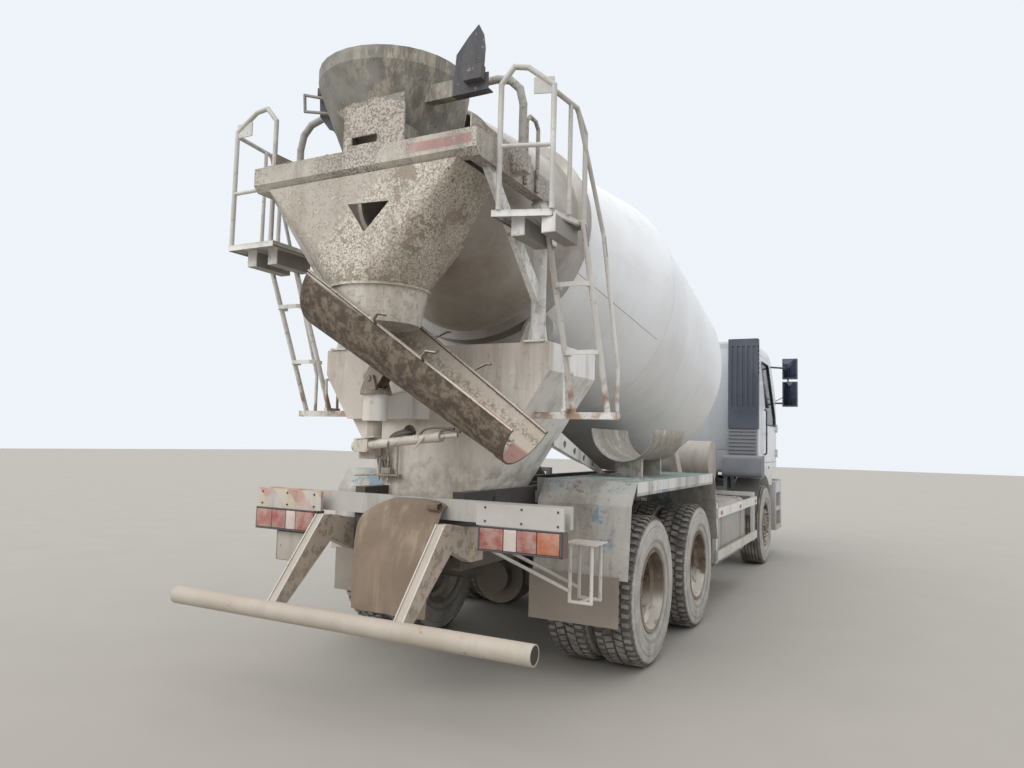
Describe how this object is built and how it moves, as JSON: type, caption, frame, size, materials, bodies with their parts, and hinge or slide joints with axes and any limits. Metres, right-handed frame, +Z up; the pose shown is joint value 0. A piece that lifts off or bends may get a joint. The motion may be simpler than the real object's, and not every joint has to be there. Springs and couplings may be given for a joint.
{
  "type": "concrete mixer truck",
  "caption": "Three-axle forward-control concrete mixer truck with an inclined rotating drum, rear charging hopper, swivelling discharge chute and rear platforms.",
  "frame": {"origin": "middle of the truck's footprint, on the ground", "axes": "+Y forward, +X the truck's right-hand side, +Z up"},
  "size_m": [2.88, 9.19, 3.999],
  "materials": {
    "chassis_dark": "dusty dark paint",
    "subframe_paint": "dusty pale paint",
    "bumper_paint": "painted, dusty",
    "engine_iron": "oily cast iron",
    "axle_steel": "dusty dark paint",
    "tank_metal": "dusty metal",
    "box_plastic": "matt black",
    "guard_metal": "dusty extrusion",
    "deck_paint": "worn pale turquoise paint",
    "flap_rubber": "dusty rubber",
    "mixer_paint": "cement-stained pale paint",
    "drive_iron": "grey paint",
    "hopper_steel": "dark, crusted with cement",
    "collector_steel": "crusted with cement",
    "ladder_paint": "dusty white paint",
    "bar_paint": "dusty cream paint",
    "lamp_plastic": "faded red lens",
    "apron_rubber": "muddy rubber",
    "water_tank_metal": "painted",
    "chute_steel": "rusty, crusted with cement",
    "filter_plastic": "grey plastic",
    "drum_paint": "off-white paint",
    "ring_steel": "worn bare steel",
    "cab_paint": "white paint",
    "panel_plastic": "dark grey plastic",
    "glass": "tinted clear glass",
    "intake_plastic": "dark grey plastic",
    "mirror_plastic": "black plastic",
    "interior_fabric": "dark cloth",
    "interior_plastic": "dark plastic",
    "lamp_glass": "clear lens",
    "tyre": "dusty tyre rubber",
    "rim_paint": "muddy, rusty steel",
    "swivel_steel": "stained steel"
  },
  "bodies": {
    "chassis": {"frame_rails": "chassis_dark", "subframe": "subframe_paint", "front_bumper": "bumper_paint", "engine": "engine_iron", "driveline": "chassis_dark", "front_axle": "axle_steel", "rear_axles": "axle_steel", "fuel_tank": "tank_metal", "battery_box": "box_plastic", "side_guards": "guard_metal", "mudguards": "deck_paint", "front_mudguards": "box_plastic", "mudflaps": "flap_rubber", "rear_pedestal": "mixer_paint", "drum_drive": "drive_iron", "hopper_frame": "mixer_paint", "hopper_bowl": "hopper_steel", "collector": "collector_steel", "ladders": "ladder_paint", "underride_bar": "bar_paint", "tail_lamps": "lamp_plastic", "rubber_apron": "apron_rubber", "water_tank": "water_tank_metal", "spare_chute": "chute_steel", "air_filter": "filter_plastic", "guard_rails": "ladder_paint", "rear_step": "ladder_paint", "head_lamps": "lamp_glass"},
    "drum": {"drum_shell": "drum_paint", "drum_ring": "ring_steel"},
    "roller_right": {"drum_roller_right": "ring_steel"},
    "roller_left": {"drum_roller_left": "ring_steel"},
    "cab": {"cab_shell": "cab_paint", "cab_front_panel": "panel_plastic", "cab_glass": "glass", "cab_fenders": "cab_paint", "air_intake": "intake_plastic", "cab_mirrors": "mirror_plastic", "cab_interior": "interior_plastic", "cab_seats": "interior_fabric"},
    "door_right": {"door_right": "cab_paint", "door_glass_right": "glass"},
    "door_left": {"door_left": "cab_paint", "door_glass_left": "glass"},
    "knuckle_right": {"knuckle_right": "axle_steel"},
    "knuckle_left": {"knuckle_left": "axle_steel"},
    "front_wheel_right": {"front_tyre_right": "tyre", "front_rim_right": "rim_paint"},
    "front_wheel_left": {"front_tyre_left": "tyre", "front_rim_left": "rim_paint"},
    "middle_wheels_right": {"middle_tyres_right": "tyre", "middle_rims_right": "rim_paint"},
    "middle_wheels_left": {"middle_tyres_left": "tyre", "middle_rims_left": "rim_paint"},
    "rear_wheels_right": {"rear_tyres_right": "tyre", "rear_rims_right": "rim_paint"},
    "rear_wheels_left": {"rear_tyres_left": "tyre", "rear_rims_left": "rim_paint"},
    "chute_swivel": {"chute_swivel": "swivel_steel"},
    "chute": {"chute_trough": "chute_steel"}
  },
  "joints": [
    {"name": "drum_spin", "type": "hinge", "parent": "chassis", "child": "drum", "pos_m": [0, -2.885, 3.16], "axis": [0, 0.9744, -0.225], "continuous": true},
    {"name": "roller_right_spin", "type": "hinge", "parent": "chassis", "child": "roller_right", "pos_m": [0.55941, -3.06472, 2.38156], "axis": [0, 0.9744, -0.225], "continuous": true},
    {"name": "roller_left_spin", "type": "hinge", "parent": "chassis", "child": "roller_left", "pos_m": [-0.55941, -3.06472, 2.38156], "axis": [0, 0.9744, -0.225], "continuous": true},
    {"name": "cab_tilt", "type": "hinge", "parent": "chassis", "child": "cab", "pos_m": [0, 4.455, 1.12], "axis": [-1, 0, 0], "range_deg": [0, 55]},
    {"name": "door_right_swing", "type": "hinge", "parent": "cab", "child": "door_right", "pos_m": [1.161, 4.262, 1.7], "axis": [0, 0, 1], "range_deg": [0, 70]},
    {"name": "steer_right", "type": "hinge", "parent": "chassis", "child": "knuckle_right", "pos_m": [0.87, 3.155, 0.538], "axis": [0, 0, 1], "range_deg": [-38, 38]},
    {"name": "front_wheel_right_spin", "type": "hinge", "parent": "knuckle_right", "child": "front_wheel_right", "pos_m": [1.02, 3.155, 0.538], "axis": [1, 0, 0], "continuous": true},
    {"name": "middle_wheels_right_spin", "type": "hinge", "parent": "chassis", "child": "middle_wheels_right", "pos_m": [0.909, -1.045, 0.538], "axis": [1, 0, 0], "continuous": true},
    {"name": "rear_wheels_right_spin", "type": "hinge", "parent": "chassis", "child": "rear_wheels_right", "pos_m": [0.909, -2.425, 0.538], "axis": [1, 0, 0], "continuous": true},
    {"name": "door_left_swing", "type": "hinge", "parent": "cab", "child": "door_left", "pos_m": [-1.161, 4.262, 1.7], "axis": [0, 0, -1], "range_deg": [0, 70]},
    {"name": "steer_left", "type": "hinge", "parent": "chassis", "child": "knuckle_left", "pos_m": [-0.87, 3.155, 0.538], "axis": [0, 0, 1], "range_deg": [-38, 38]},
    {"name": "front_wheel_left_spin", "type": "hinge", "parent": "knuckle_left", "child": "front_wheel_left", "pos_m": [-1.02, 3.155, 0.538], "axis": [1, 0, 0], "continuous": true},
    {"name": "middle_wheels_left_spin", "type": "hinge", "parent": "chassis", "child": "middle_wheels_left", "pos_m": [-0.909, -1.045, 0.538], "axis": [1, 0, 0], "continuous": true},
    {"name": "rear_wheels_left_spin", "type": "hinge", "parent": "chassis", "child": "rear_wheels_left", "pos_m": [-0.909, -2.425, 0.538], "axis": [1, 0, 0], "continuous": true},
    {"name": "chute_slew", "type": "hinge", "parent": "chassis", "child": "chute_swivel", "pos_m": [0, -4.195, 1.78], "axis": [0, 0, 1], "range_deg": [-180, 0]},
    {"name": "chute_tilt", "type": "hinge", "parent": "chute_swivel", "child": "chute", "pos_m": [0, -4.195, 1.955], "axis": [0, -1, 0], "range_deg": [0, 20]}
  ],
  "couplings": [
    {"joint": "roller_right_spin", "follows": "drum_spin", "ratio": -6.8},
    {"joint": "roller_left_spin", "follows": "drum_spin", "ratio": -6.8},
    {"joint": "steer_left", "follows": "steer_right", "ratio": 1}
  ]
}
